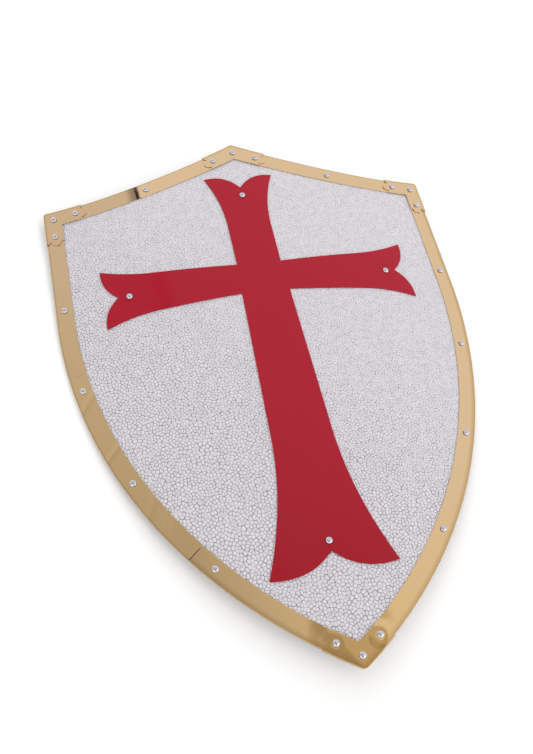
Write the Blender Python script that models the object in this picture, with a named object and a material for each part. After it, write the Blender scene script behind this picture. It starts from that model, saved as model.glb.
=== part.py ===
# Knight shield: a rolled steel panel with a riveted cross and a folded, riveted rim.
# Metres, +Z up. Every sheet piece is drawn flat, x across from the middle line and y up from
# the panel's tip, and is then rolled round an upright axis behind the shield. The finished
# shield lies face up on a floor at z = 0, rocked to the angle at which it balances.
import math

import bmesh
import bpy
from mathutils import Matrix, Vector

# Sheet stock and the space between pieces that touch
PANEL_THICKNESS = 0.0012
CROSS_THICKNESS = 0.0009
TRIM_THICKNESS = 0.0006
PLATE_THICKNESS = 0.0006
GAP = 0.0003

# The panel's blank
ROLL_RADIUS = 0.945
SHOULDER_HALF_WIDTH = 0.2214
SHOULDER_FLARE = 0.0008
SIDE_RADIUS = 0.4677
PEAK_HEIGHT = 0.5969
PEAK_RISE = 0.0590
CORNER_HEIGHT = PEAK_HEIGHT - PEAK_RISE
PEAK_SLOPE = math.radians(26.4)
PEAK_HANDLE = 0.0749
CORNER_HANDLE = 0.0712
TIP_ROUNDING = 0.0045
CORNER_ROUNDING = 0.0010

# Rim strips and corner plates, folded over the edge: full widths in front and behind
TRIM_WIDTH = 0.0184
TRIM_LIP = 0.0060
SEAM_FROM_TIP = 0.176
PLATE_OVERHANG = 0.0004

# Scalloped end of a corner plate, measured from its end rivet along the edge
HORN_REACH = 0.0087
NOTCH_REACH = 0.0056
TONGUE_REACH = 0.0121
TONGUE_HALF_WIDTH = 0.0058

# Rivets
HEAD_DIAMETER = 0.0068
HEAD_HEIGHT = 0.0022
SHANK_DIAMETER = 0.0030
TAIL_DIAMETER = 0.0054
TAIL_HEIGHT = 0.0008
HOLE_CLEARANCE = 0.0003

# Places of the rim rivets, along the edge and in from it
RIVET_DEPTH = 0.0085
SIDE_RIVETS_FROM_TIP = (0.154, 0.269, 0.384, 0.485)
TOP_RIVET_FROM_PEAK = 0.1170
# For each kind of plate: its end rivets' distance from the corner, and the corner rivet's depth
CORNER_PLATE = {"reach": 0.0328, "depth": 0.0094}
PEAK_PLATE = {"reach": 0.0310, "depth": 0.0095}
TIP_PLATE = {"reach": 0.0298, "depth": 0.0083}

# The cross: its centre under the panel's peak, its small turn out of true, the bare panel left
# beyond its side arms and its foot, and half an outline for each arm. "root" is the half width
# at the centre, "taper" its growth along the arm, "reach" the distance out of the end's points,
# "flare" how far before them the end starts to spread and "radius" what it spreads on, "notch"
# how deep the cut between the end's two lobes is, "bulge" the two handles of a lobe's curve,
# and "rivet" the rivet's place behind that cut and beside the arm's middle line.
CROSS_OFFSET = -0.0018
CROSS_BELOW_PEAK = 0.1888
CROSS_TURN = math.radians(-0.31)
CROSS_CENTRE = (CROSS_OFFSET, PEAK_HEIGHT - CROSS_BELOW_PEAK)
SIDE_CLEARANCE = 0.0516
FOOT_CLEARANCE = 0.0853
TOP_ARM = {
    "root": 0.0242, "taper": 0.0, "reach": 0.1412, "flare": 0.0712, "radius": 0.175,
    "notch": 0.0156, "bulge": ((0.0119, 0.0096), (0.0037, -0.0187)), "rivet": (0.0121, 0.0),
}
SIDE_ARM = {
    "root": 0.0188, "taper": 0.044, "reach": SHOULDER_HALF_WIDTH - SIDE_CLEARANCE, "flare": 0.0598,
    "radius": 0.185, "notch": 0.0158, "bulge": ((0.0113, 0.0094), (0.0008, -0.0165)),
    "rivet": (0.0117, -0.0013),
}
FOOT_ARM = {
    "root": 0.0260, "taper": 0.025, "reach": CROSS_CENTRE[1] - FOOT_CLEARANCE, "flare": 0.1388,
    "radius": 0.368, "notch": 0.0175, "bulge": ((0.0127, 0.0137), (0.0053, -0.0306)),
    "rivet": (0.0097, 0.0),
}

# How finely curves are divided
PANEL_FACETS = 15
SIDE_STEPS = 24
TOP_STEPS = 11
CORNER_STEPS = 4
FLARE_STEPS = 5
LOBE_STEPS = 6
TONGUE_STEPS = 6
RIVET_SIDES = 8
DOME_STEPS = 3
SHARP_ANGLE = math.radians(30)
MERGE_DISTANCE = 1e-6

# How the angle at which the shield balances is looked for, by halving
LARGEST_ROCK = math.radians(10)
HALVINGS = 40


def bezier(p0, p1, p2, p3, steps):
    # Points of a cubic curve, without its first point
    points = []
    for i in range(1, steps + 1):
        u = i / steps
        v = 1 - u
        points.append(v**3 * p0 + 3 * u * v * v * p1 + 3 * u * u * v * p2 + u**3 * p3)
    return points


class Station:
    # A place on the panel's edge. A rounded corner is several stations round one centre.
    # mitre is the way out along the corner's middle line, which all its sharp offsets lie on.
    def __init__(self, point, normal, radius=0.0, mitre=None):
        self.point = point
        self.normal = normal
        self.radius = radius
        self.mitre = mitre

    def moved(self, shift):
        return Station(self.point + shift, self.normal, self.radius, self.mitre)

    def at(self, depth):
        # The flat point this far inside the edge, or outside it where depth is negative
        if self.mitre is None:
            return self.point - self.normal * depth
        if depth < self.radius:
            return self.point - self.mitre * self.radius + self.normal * (self.radius - depth)
        return self.point - self.mitre * depth

    def mirrored(self):
        flip = Matrix(((-1, 0), (0, 1)))
        mitre = None if self.mitre is None else flip @ self.mitre
        return Station(flip @ self.point, flip @ self.normal, self.radius, mitre)


def corner_stations(vertex, normal_in, normal_out, radius):
    mitre = (normal_in + normal_out) / (1 + normal_in.dot(normal_out))
    start = math.atan2(normal_in.y, normal_in.x)
    turn = normal_in.angle(normal_out)
    stations = []
    for i in range(CORNER_STEPS + 1):
        angle = start + turn * i / CORNER_STEPS
        normal = Vector((math.cos(angle), math.sin(angle)))
        stations.append(Station(vertex, normal, radius, mitre))
    return stations


class Run:
    # A stretch of the edge, anticlockwise round the shield, with distances along it
    def __init__(self, stations):
        self.stations = stations
        self.distances = [0.0]
        for a, b in zip(stations, stations[1:]):
            self.distances.append(self.distances[-1] + (b.at(0) - a.at(0)).length)
        self.length = self.distances[-1]

    def spot(self, distance):
        for i in range(len(self.stations) - 1):
            low, high = self.distances[i], self.distances[i + 1]
            if distance <= high and high > low:
                share = (distance - low) / (high - low)
                a, b = self.stations[i], self.stations[i + 1]
                return Station(a.at(0).lerp(b.at(0), share), a.normal.lerp(b.normal, share).normalized())
        return self.stations[-1]

    def clip(self, start, finish):
        # The stations between two distances, with a new one at each end that isn't a corner
        inner = [
            s for s, d in zip(self.stations, self.distances)
            if start + GAP < d < finish - GAP
        ]
        first = [self.spot(start)] if start > 0 else [self.stations[0]]
        last = [self.spot(finish)] if finish < self.length else [self.stations[-1]]
        return first + inner + last

    def mirrored(self):
        return Run([s.mirrored() for s in reversed(self.stations)])


def open_mitres(stations):
    # Move a strip's end stations back by half a gap where it meets the next strip in a mitre
    for end, sign in ((stations[0], 1), (stations[-1], -1)):
        if end.mitre is not None:
            shift = Vector((-end.mitre.y, end.mitre.x)).normalized() * sign * GAP / 2
            stations = [s.moved(shift) if s.mitre == end.mitre else s for s in stations]
    return stations


def draw_edge():
    # The right half of the panel's edge: tip to corner, and corner to peak
    centre = Vector((SHOULDER_HALF_WIDTH - SIDE_RADIUS, 0))
    centre.y = math.sqrt(SIDE_RADIUS**2 - centre.x**2)
    tip_angle = math.atan2(-centre.y, -centre.x)
    side = []
    for i in range(1, SIDE_STEPS + 1):
        angle = tip_angle * (1 - i / SIDE_STEPS)
        normal = Vector((math.cos(angle), math.sin(angle)))
        side.append(Station(centre + normal * SIDE_RADIUS, normal))
    tip_normal = Vector((math.cos(tip_angle), math.sin(tip_angle)))
    tip = corner_stations(
        Vector((0, 0)), Vector((-tip_normal.x, tip_normal.y)), tip_normal, TIP_ROUNDING
    )

    vertex = Vector((SHOULDER_HALF_WIDTH + SHOULDER_FLARE, CORNER_HEIGHT))
    straight = (vertex - side[-1].point).normalized()
    corner = corner_stations(vertex, Vector((straight.y, -straight.x)), Vector((0, 1)), CORNER_ROUNDING)

    peak = Vector((0, PEAK_HEIGHT))
    slope = Vector((math.cos(PEAK_SLOPE), -math.sin(PEAK_SLOPE)))
    handle_corner = vertex - Vector((CORNER_HANDLE, 0))
    curve = bezier(vertex, handle_corner, peak + slope * PEAK_HANDLE, peak, TOP_STEPS)
    top = []
    for before, here, after in zip([vertex] + curve, curve, curve[1:]):
        along = (after - before).normalized()
        top.append(Station(here, Vector((along.y, -along.x))))
    peak_normal = Vector((-slope.y, slope.x))
    point = corner_stations(peak, peak_normal, Vector((-peak_normal.x, peak_normal.y)), CORNER_ROUNDING)

    half = CORNER_STEPS // 2
    side_run = Run(tip[half:] + side + corner[: half + 1])
    top_run = Run(corner[half:] + top + point[: half + 1])
    return side_run, top_run


SIDE_RUN, TOP_RUN = draw_edge()
LEFT_RUN, TOP_LEFT_RUN = SIDE_RUN.mirrored(), TOP_RUN.mirrored()

FACET_WIDTH = 2 * (SHOULDER_HALF_WIDTH + SHOULDER_FLARE) / PANEL_FACETS
FACET_ANGLE = FACET_WIDTH / ROLL_RADIUS

# Heights above the panel's face of what lies on it
STRIP_TOP = GAP + TRIM_THICKNESS
PLATE_UNDER = STRIP_TOP + GAP
PLATE_TOP = PLATE_UNDER + PLATE_THICKNESS
CROSS_TOP = GAP + CROSS_THICKNESS


def roll(x, y, z):
    # A flat point's place on the rolled shield, whose face is made of upright flat facets
    facet = math.floor(x / FACET_WIDTH + 0.5)
    share = x / FACET_WIDTH + 0.5 - facet
    low, high = (facet - 0.5) * FACET_ANGLE, (facet + 0.5) * FACET_ANGLE
    radius = ROLL_RADIUS + z
    across = (1 - share) * math.sin(low) + share * math.sin(high)
    upward = (1 - share) * math.cos(low) + share * math.cos(high)
    return Vector((radius * across, y, radius * upward - ROLL_RADIUS))


def facet_lean(x):
    return math.floor(x / FACET_WIDTH + 0.5) * FACET_ANGLE


def make_material(name, colour, roughness, metallic):
    material = bpy.data.materials.new(name)
    material.use_nodes = True
    shader = material.node_tree.nodes["Principled BSDF"]
    shader.inputs["Base Color"].default_value = (*colour, 1)
    shader.inputs["Roughness"].default_value = roughness
    shader.inputs["Metallic"].default_value = metallic
    material.diffuse_color = (*colour, 1)
    return material


def add_object(name, mesh, parent, material=None):
    piece = bpy.data.objects.new(name, mesh)
    bpy.context.scene.collection.objects.link(piece)
    piece.parent = parent
    if material is not None and not mesh.materials:
        mesh.materials.append(material)
    return piece


def finish_mesh(bm, name):
    bmesh.ops.recalc_face_normals(bm, faces=bm.faces)
    mesh = bpy.data.meshes.new(name)
    bm.to_mesh(mesh)
    bm.free()
    mesh.shade_smooth()
    mesh.set_sharp_from_angle(angle=SHARP_ANGLE)
    return mesh


def roll_mesh(bm, name):
    # Cut a flat closed mesh along the facets' edges, then roll it
    bmesh.ops.remove_doubles(bm, verts=bm.verts, dist=MERGE_DISTANCE)
    reach = PANEL_FACETS // 2 + 1
    for i in range(-reach, reach):
        bmesh.ops.bisect_plane(
            bm, geom=bm.verts[:] + bm.edges[:] + bm.faces[:], dist=MERGE_DISTANCE,
            plane_co=((i + 0.5) * FACET_WIDTH, 0, 0), plane_no=(1, 0, 0),
        )
    for vertex in bm.verts:
        vertex.co = roll(*vertex.co)
    return finish_mesh(bm, name)


def sheet_mesh(name, outline, low, high):
    # A flat sheet with this outline, between two heights above the panel's face
    bm = bmesh.new()
    lower = [bm.verts.new((p.x, p.y, low)) for p in outline]
    upper = [bm.verts.new((p.x, p.y, high)) for p in outline]
    bm.faces.new(lower)
    bm.faces.new(upper)
    for i in range(len(outline)):
        bm.faces.new((lower[i - 1], lower[i], upper[i], upper[i - 1]))
    return roll_mesh(bm, name)


def square_end(leg_depth, wall_depth):
    return [(0.0, wall_depth), (0.0, leg_depth)]


def scalloped_end(leg_depth, wall_depth):
    # A rounded tongue between two notches, with a horn at each edge: (reach, depth) pairs
    middle = (leg_depth + wall_depth) / 2
    notch = NOTCH_REACH - HORN_REACH
    tongue = TONGUE_REACH - NOTCH_REACH
    points = [(0.0, wall_depth), (notch / 2, (wall_depth + middle - TONGUE_HALF_WIDTH) / 2)]
    for i in range(TONGUE_STEPS + 1):
        angle = math.pi * i / TONGUE_STEPS
        points.append((notch + tongue * math.sin(angle), middle - TONGUE_HALF_WIDTH * math.cos(angle)))
    points.append((notch / 2, (leg_depth + middle + TONGUE_HALF_WIDTH) / 2))
    points.append((0.0, leg_depth))
    return points


def channel_mesh(name, stations, cover, thickness, width, lip, shape_end):
    # Sheet folded over the edge: a leg in front, a wall outside and a narrow lip behind.
    # cover is the space between the panel and the fold's inside.
    outside, wall = -(cover + thickness), -cover
    leg_depth, lip_depth = outside + width, outside + lip
    front, under = cover + thickness, cover
    back, inside = -(PANEL_THICKNESS + cover + thickness), -(PANEL_THICKNESS + cover)
    bm = bmesh.new()

    def vert(flat, height):
        return bm.verts.new((flat.x, flat.y, height))

    rows = []
    for station in stations:
        rows.append({
            "front_out": vert(station.at(outside), front), "front_in": vert(station.at(leg_depth), front),
            "under_in": vert(station.at(leg_depth), under), "under_wall": vert(station.at(wall), under),
            "back_wall": vert(station.at(wall), inside), "lip_in": vert(station.at(lip_depth), inside),
            "lip_back": vert(station.at(lip_depth), back), "back_out": vert(station.at(outside), back),
        })
    ends = []
    for row, station, sign in ((rows[0], stations[0], -1), (rows[-1], stations[-1], 1)):
        across = (station.at(leg_depth) - station.at(outside)).normalized()
        away = Vector((across.y, -across.x)) * sign
        shape = shape_end(leg_depth, wall)
        tops = [vert(station.at(shape[0][1]), front)]
        unders = [row["under_wall"]]
        for reach, depth in shape[1:-1]:
            tops.append(vert(station.at(depth) + away * reach, front))
            unders.append(vert(station.at(depth) + away * reach, under))
        tops.append(row["front_in"])
        unders.append(row["under_in"])
        ends.append((tops, unders))
        for i in range(1, len(tops)):
            bm.faces.new((tops[i - 1], tops[i], unders[i], unders[i - 1]))
        bm.faces.new((
            row["front_out"], tops[0], row["under_wall"], row["back_wall"],
            row["lip_in"], row["lip_back"], row["back_out"],
        ))
    plain = (
        ("front_in", "under_in"), ("under_wall", "back_wall"), ("back_wall", "lip_in"),
        ("lip_in", "lip_back"), ("lip_back", "back_out"), ("back_out", "front_out"),
    )
    last = len(rows) - 2
    for i, (a, b) in enumerate(zip(rows, rows[1:])):
        for one, other in plain:
            bm.faces.new((a[one], a[other], b[other], b[one]))
        start_top, start_under = ends[0] if i == 0 else ([a["front_in"]], [a["under_wall"], a["under_in"]])
        end_top, end_under = ends[1] if i == last else ([b["front_in"]], [b["under_wall"], b["under_in"]])
        bm.faces.new([a["front_out"]] + start_top + end_top[::-1] + [b["front_out"]])
        bm.faces.new(start_under + end_under[::-1])
    return roll_mesh(bm, name)


def arm_outline(arm):
    # Half an arm's outline as (out, aside) points, from its root to the notch in its end
    start = arm["reach"] - arm["flare"]
    points = [Vector((start, arm["root"] + arm["taper"] * start))]
    for i in range(1, FLARE_STEPS + 1):
        run = arm["flare"] * i / FLARE_STEPS
        spread = arm["radius"] - math.sqrt(arm["radius"] ** 2 - run**2)
        points.append(Vector((start + run, arm["root"] + arm["taper"] * (start + run) + spread)))
    tip, notch = points[-1], Vector((arm["reach"] - arm["notch"], 0))
    near_notch, near_tip = arm["bulge"]
    points += bezier(tip, tip + Vector(near_tip), notch + Vector(near_notch), notch, LOBE_STEPS)
    return points


def arm_rivet(arm):
    # How far out and how far aside the arm's rivet is
    behind, aside = arm["rivet"]
    return arm["reach"] - arm["notch"] - behind, aside


def place_on_cross(x, y):
    turned = Matrix.Rotation(CROSS_TURN, 2) @ Vector((x, y))
    return turned + Vector(CROSS_CENTRE)


def cross_outline():
    # Anticlockwise from the corner between the right arm and the top one
    outline = []
    arms = (
        (TOP_ARM, lambda out, aside: (aside, out)), (SIDE_ARM, lambda out, aside: (-out, aside)),
        (FOOT_ARM, lambda out, aside: (-aside, -out)), (SIDE_ARM, lambda out, aside: (out, -aside)),
    )
    for i, (arm, turned) in enumerate(arms):
        right = arm_outline(arm)
        left = [Vector((p.x, -p.y)) for p in right[-2::-1]]
        following = arms[(i + 1) % len(arms)][0]
        inner = Vector((following["root"], -arm["root"]))
        for p in right + left + [inner]:
            outline.append(place_on_cross(*turned(p.x, p.y)))
    return outline


def lathe_mesh(name, profile):
    # A solid turned from (radius, height) points that start and end on the axis
    bm = bmesh.new()
    verts = [bm.verts.new((radius, 0, height)) for radius, height in profile]
    edges = [bm.edges.new(pair) for pair in zip(verts, verts[1:])]
    bmesh.ops.spin(
        bm, geom=verts + edges, axis=(0, 0, 1), cent=(0, 0, 0), angle=2 * math.pi,
        steps=RIVET_SIDES, use_merge=True,
    )
    bmesh.ops.remove_doubles(bm, verts=bm.verts, dist=MERGE_DISTANCE)
    return finish_mesh(bm, name)


def rivet_mesh(name, seat):
    # A domed rivet whose head stands on a surface this high above the panel's face, with its
    # tail spread behind the panel. The mesh's origin is on the panel's face.
    base = seat + GAP
    back = -(PANEL_THICKNESS + GAP)
    head, shank, tail = HEAD_DIAMETER / 2, SHANK_DIAMETER / 2, TAIL_DIAMETER / 2
    profile = [(0, back - TAIL_HEIGHT), (shank, back - TAIL_HEIGHT), (tail, back), (shank, back)]
    profile += [(shank, base), (head, base)]
    for i in range(1, DOME_STEPS + 1):
        angle = math.pi / 2 * i / DOME_STEPS
        profile.append((head * math.cos(angle), base + HEAD_HEIGHT * math.sin(angle)))
    profile[-1] = (0, base + HEAD_HEIGHT)
    return lathe_mesh(name, profile)


def drill(piece, spots):
    # Clearance holes for the rivets at these flat points
    radius = SHANK_DIAMETER / 2 + HOLE_CLEARANCE
    depth = 4 * (PANEL_THICKNESS + PLATE_TOP)
    bm = bmesh.new()
    for spot in spots:
        place = Matrix.Translation(roll(spot.x, spot.y, 0)) @ Matrix.Rotation(facet_lean(spot.x), 4, "Y")
        bmesh.ops.create_cone(
            bm, cap_ends=True, segments=RIVET_SIDES, radius1=radius, radius2=radius, depth=depth,
            matrix=place,
        )
    cutter = add_object("cutter_" + piece.name, finish_mesh(bm, "cutter_" + piece.name), piece.parent)
    cutter.hide_render = True
    cutter.display_type = "WIRE"
    holes = piece.modifiers.new("rivet holes", "BOOLEAN")
    holes.object = cutter
    holes.operation = "DIFFERENCE"


def rivet_places():
    # Flat points of the rivets: those of each plate, each strip and the cross, by name
    plates = {}
    side, top = SIDE_RUN, TOP_RUN
    corner_rivet = top.stations[0].at(CORNER_PLATE["depth"])
    right = [
        side.spot(side.length - CORNER_PLATE["reach"]).at(RIVET_DEPTH),
        corner_rivet,
        top.spot(CORNER_PLATE["reach"]).at(RIVET_DEPTH),
    ]
    plates["top_right"] = right
    plates["top_left"] = [Vector((-p.x, p.y)) for p in right]
    for name, end, middle, plate in (
        ("peak", top.spot(top.length - PEAK_PLATE["reach"]), top.stations[-1], PEAK_PLATE),
        ("tip", side.spot(TIP_PLATE["reach"]), side.stations[0], TIP_PLATE),
    ):
        place = end.at(RIVET_DEPTH)
        plates[name] = [place, middle.at(plate["depth"]), Vector((-place.x, place.y))]

    side_rivets = [side.spot(distance).at(RIVET_DEPTH) for distance in SIDE_RIVETS_FROM_TIP]
    top_rivet = top.spot(top.length - TOP_RIVET_FROM_PEAK).at(RIVET_DEPTH)
    strips = {"right": side_rivets + [top_rivet]}
    strips["left"] = [Vector((-p.x, p.y)) for p in strips["right"]]

    (top_out, top_aside), (side_out, side_up), (foot_out, foot_aside) = (
        arm_rivet(arm) for arm in (TOP_ARM, SIDE_ARM, FOOT_ARM)
    )
    cross = [
        place_on_cross(top_aside, top_out), place_on_cross(-side_out, side_up),
        place_on_cross(side_out, side_up), place_on_cross(foot_aside, -foot_out),
    ]
    return plates, strips, cross


def numbered(groups):
    # A label and a place for each rivet of each group
    return [(f"{name}_{i}", spot) for name, spots in groups.items() for i, spot in enumerate(spots, 1)]


def solid_centre(meshes):
    # The centre of mass of closed meshes, each with its place, all of one density
    total, moment = 0.0, Vector((0, 0, 0))
    for mesh, place in meshes:
        mesh.calc_loop_triangles()
        points = [place @ v.co for v in mesh.vertices]
        for triangle in mesh.loop_triangles:
            a, b, c = (points[i] for i in triangle.vertices)
            volume = a.dot(b.cross(c)) / 6
            total += volume
            moment += (a + b + c) / 4 * volume
    return moment / total


def lay_down(frame):
    # Rock the shield about X until its centre of mass is over the lowest points of its rim,
    # which it rests on with the tip a little off the floor, and stand it on z = 0
    pieces = [o for o in frame.children if o.display_type != "WIRE"]
    meshes = [(o.data, Matrix.LocRotScale(o.location, o.rotation_euler, None)) for o in pieces]
    centre = solid_centre(meshes)
    points = [place @ v.co for mesh, place in meshes for v in mesh.vertices]
    low, high = 0.0, LARGEST_ROCK
    for _ in range(HALVINGS):
        angle = (low + high) / 2
        turned = Matrix.Rotation(angle, 3, "X")
        lowest = min(((turned @ p) for p in points), key=lambda p: p.z)
        if lowest.y > (turned @ centre).y:
            low = angle
        else:
            high = angle
    turned = [Matrix.Rotation(angle, 3, "X") @ p for p in points]
    middle = [(min(p[i] for p in turned) + max(p[i] for p in turned)) / 2 for i in (0, 1)]
    frame.rotation_euler = (angle, 0, 0)
    frame.location = (-middle[0], -middle[1], -min(p.z for p in turned))


def build_shield():
    for old in list(bpy.data.objects):
        bpy.data.objects.remove(old, do_unlink=True)
    paint = make_material("white crackle paint", (0.72, 0.71, 0.73), 0.45, 0.0)
    enamel = make_material("red enamel", (0.42, 0.012, 0.035), 0.3, 0.0)
    brass = make_material("polished brass", (0.72, 0.50, 0.22), 0.2, 1.0)
    steel = make_material("polished steel", (0.75, 0.75, 0.78), 0.15, 1.0)

    frame = bpy.data.objects.new("shield_frame", None)
    bpy.context.scene.collection.objects.link(frame)
    plates, strips, cross_rivets = rivet_places()

    edge = []
    for run in (SIDE_RUN, TOP_RUN, TOP_LEFT_RUN, LEFT_RUN):
        edge += [station.at(0) for station in run.stations[:-1]]
    panel = add_object(
        "shield_panel", sheet_mesh("shield_panel", edge, -PANEL_THICKNESS, 0), frame, paint
    )
    every_spot = [p for group in list(plates.values()) + list(strips.values()) for p in group]
    drill(panel, every_spot + cross_rivets)

    cross = add_object(
        "cross_plate", sheet_mesh("cross_plate", cross_outline(), GAP, CROSS_TOP), frame, enamel
    )
    drill(cross, cross_rivets)

    half = GAP / 2
    seam = LEFT_RUN.length - SEAM_FROM_TIP
    side_spots, left_spots = strips["right"][:-1], strips["left"][:-1]
    above = [p for p in left_spots if p.y > LEFT_RUN.spot(seam).at(RIVET_DEPTH).y]
    below = [p for p in left_spots if p not in above]
    ends = {"top_right": plates["top_right"], "top_left": plates["top_left"]}
    strip_list = (
        ("trim_right", SIDE_RUN, 0, SIDE_RUN.length,
         side_spots + plates["tip"][:2] + ends["top_right"][:2]),
        ("trim_top_right", TOP_RUN, 0, TOP_RUN.length,
         strips["right"][-1:] + ends["top_right"][1:] + plates["peak"][:2]),
        ("trim_top_left", TOP_LEFT_RUN, 0, TOP_LEFT_RUN.length,
         strips["left"][-1:] + ends["top_left"][1:] + plates["peak"][1:]),
        ("trim_left_upper", LEFT_RUN, 0, seam - half, above + ends["top_left"][:2]),
        ("trim_left_lower", LEFT_RUN, seam + half, LEFT_RUN.length, below + plates["tip"][1:]),
    )
    for name, run, start, finish, spots in strip_list:
        stations = open_mitres(run.clip(start, finish))
        mesh = channel_mesh(name, stations, GAP, TRIM_THICKNESS, TRIM_WIDTH, TRIM_LIP, square_end)
        drill(add_object(name, mesh, frame, brass), spots)

    # A plate's front is wider than a strip's by what it stands out past it on both sides
    plate_width = TRIM_WIDTH + GAP + PLATE_THICKNESS + PLATE_OVERHANG
    plate_lip = TRIM_LIP + GAP + PLATE_THICKNESS
    corner_end = CORNER_PLATE["reach"] + HORN_REACH
    peak_end = PEAK_PLATE["reach"] + HORN_REACH
    tip_end = TIP_PLATE["reach"] + HORN_REACH
    plate_list = (
        ("plate_top_right", SIDE_RUN, corner_end, TOP_RUN, corner_end, "top_right"),
        ("plate_peak", TOP_RUN, peak_end, TOP_LEFT_RUN, peak_end, "peak"),
        ("plate_top_left", TOP_LEFT_RUN, corner_end, LEFT_RUN, corner_end, "top_left"),
        ("plate_tip", LEFT_RUN, tip_end, SIDE_RUN, tip_end, "tip"),
    )
    for name, before, reach_before, after, reach_after, group in plate_list:
        stations = before.clip(before.length - reach_before, before.length)[:-1]
        stations += after.clip(0, reach_after)
        mesh = channel_mesh(
            name, stations, PLATE_UNDER, PLATE_THICKNESS, plate_width, plate_lip, scalloped_end
        )
        drill(add_object(name, mesh, frame, brass), plates[group])

    rivet_kinds = (
        ("plate", PLATE_TOP, numbered(plates)), ("strip", STRIP_TOP, numbered(strips)),
        ("cross", CROSS_TOP, zip(("cross_top", "cross_left", "cross_right", "cross_foot"), cross_rivets)),
    )
    for kind, seat, places in rivet_kinds:
        mesh = rivet_mesh("rivet_" + kind, seat)
        for label, spot in places:
            rivet = add_object("rivet_" + label, mesh, frame, steel)
            rivet.location = roll(spot.x, spot.y, 0)
            rivet.rotation_euler = (0, facet_lean(spot.x), 0)

    lay_down(frame)
    bpy.context.view_layer.update()


build_shield()
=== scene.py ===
import math
import random

import bmesh
import bpy
from mathutils import Euler, Matrix, Vector, geometry, noise


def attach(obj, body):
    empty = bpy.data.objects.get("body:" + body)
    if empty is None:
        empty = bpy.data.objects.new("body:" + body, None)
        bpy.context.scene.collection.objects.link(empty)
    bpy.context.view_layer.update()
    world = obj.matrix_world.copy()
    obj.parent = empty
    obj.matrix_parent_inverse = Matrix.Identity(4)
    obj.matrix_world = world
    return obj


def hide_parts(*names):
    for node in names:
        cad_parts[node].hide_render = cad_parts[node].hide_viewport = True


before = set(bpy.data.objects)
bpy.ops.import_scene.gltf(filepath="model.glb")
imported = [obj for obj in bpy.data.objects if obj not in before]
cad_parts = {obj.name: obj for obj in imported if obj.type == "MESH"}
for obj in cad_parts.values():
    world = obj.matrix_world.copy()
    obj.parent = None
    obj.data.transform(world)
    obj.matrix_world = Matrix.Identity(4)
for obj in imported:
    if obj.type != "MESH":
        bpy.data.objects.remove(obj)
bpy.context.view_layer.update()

random.seed(12)
print("knight shield: frame loaded,", len(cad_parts), "nodes")

# The sheet that everything follows. Each piece is drawn flat, x across from the middle line
# and y up from the panel's tip, then rolled round an upright axis behind the shield.
sheet = {
    "rollRadius": 0.945,
    "panelThickness": 0.0012,
    "gap": 0.0003,
    "lineSpacing": 0.004,      # flat pieces are cut this finely before they are rolled
    "facets": 15,              # the solid sheet is bent in this many flats
    "rippleHeight": 0.00012,   # handled sheet is never quite true
    "rippleLength": 0.085,
}

edgeLine = {
    "halfWidth": 0.2214,
    "shoulderFlare": 0.0008,
    "sideRadius": 0.4677,
    "peakHeight": 0.5969,
    "peakRise": 0.0590,
    "peakSlope": math.radians(26.4),
    "peakHandle": 0.0749,
    "cornerHandle": 0.0712,
    "tipRounding": 0.0045,
    "cornerRounding": 0.0010,
    "sideSteps": 110,
    "topSteps": 56,
    "cornerSteps": 8,
}


def ripple(x, y):
    return noise.noise(Vector((x, y, 0.3)) / sheet["rippleLength"]) * sheet["rippleHeight"]


def rollPoint(x, y, z):
    turn = x / sheet["rollRadius"]
    reach = sheet["rollRadius"] + z + ripple(x, y)
    return Vector((reach * math.sin(turn), y, reach * math.cos(turn) - sheet["rollRadius"]))


def curvePoints(p0, p1, p2, p3, steps):
    points = []
    for i in range(1, steps + 1):
        u = i / steps
        v = 1 - u
        points.append(v**3 * p0 + 3 * u * v * v * p1 + 3 * u * u * v * p2 + u**3 * p3)
    return points


class Spot:
    # a place on the panel's edge; a rounded corner is several spots round one centre
    def __init__(self, point, normal, rounding=0.0, mitre=None):
        self.point = point
        self.normal = normal
        self.rounding = rounding
        self.mitre = mitre

    def at(self, depth):
        if self.mitre is None:
            return self.point - self.normal * depth
        if depth < self.rounding:
            return self.point - self.mitre * self.rounding + self.normal * (self.rounding - depth)
        return self.point - self.mitre * depth

    def shifted(self, shift):
        return Spot(self.point + shift, self.normal, self.rounding, self.mitre)

    def mirrored(self):
        flip = Matrix(((-1, 0), (0, 1)))
        mitre = None if self.mitre is None else flip @ self.mitre
        return Spot(flip @ self.point, flip @ self.normal, self.rounding, mitre)


def cornerSpots(point, normalIn, normalOut, rounding):
    mitre = (normalIn + normalOut) / (1 + normalIn.dot(normalOut))
    start = math.atan2(normalIn.y, normalIn.x)
    turn = normalIn.angle(normalOut)
    spots = []
    for i in range(edgeLine["cornerSteps"] + 1):
        angle = start + turn * i / edgeLine["cornerSteps"]
        spots.append(Spot(point, Vector((math.cos(angle), math.sin(angle))), rounding, mitre))
    return spots


class Side:
    # a stretch of the panel's edge, anticlockwise, with distances along it
    def __init__(self, spots):
        self.spots = spots
        self.distances = [0.0]
        for a, b in zip(spots, spots[1:]):
            self.distances.append(self.distances[-1] + (b.at(0) - a.at(0)).length)
        self.length = self.distances[-1]

    def spotAt(self, distance):
        for i in range(len(self.spots) - 1):
            low, high = self.distances[i], self.distances[i + 1]
            if distance <= high and high > low:
                share = (distance - low) / (high - low)
                a, b = self.spots[i], self.spots[i + 1]
                normal = a.normal.lerp(b.normal, share).normalized()
                return Spot(a.at(0).lerp(b.at(0), share), normal)
        return self.spots[-1]

    def stretch(self, start, finish):
        near = sheet["gap"]
        inner = [s for s, d in zip(self.spots, self.distances) if start + near < d < finish - near]
        first = self.spotAt(start) if start > 0 else self.spots[0]
        last = self.spotAt(finish) if finish < self.length else self.spots[-1]
        return [first] + inner + [last]

    def mirrored(self):
        return Side([s.mirrored() for s in reversed(self.spots)])


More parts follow.
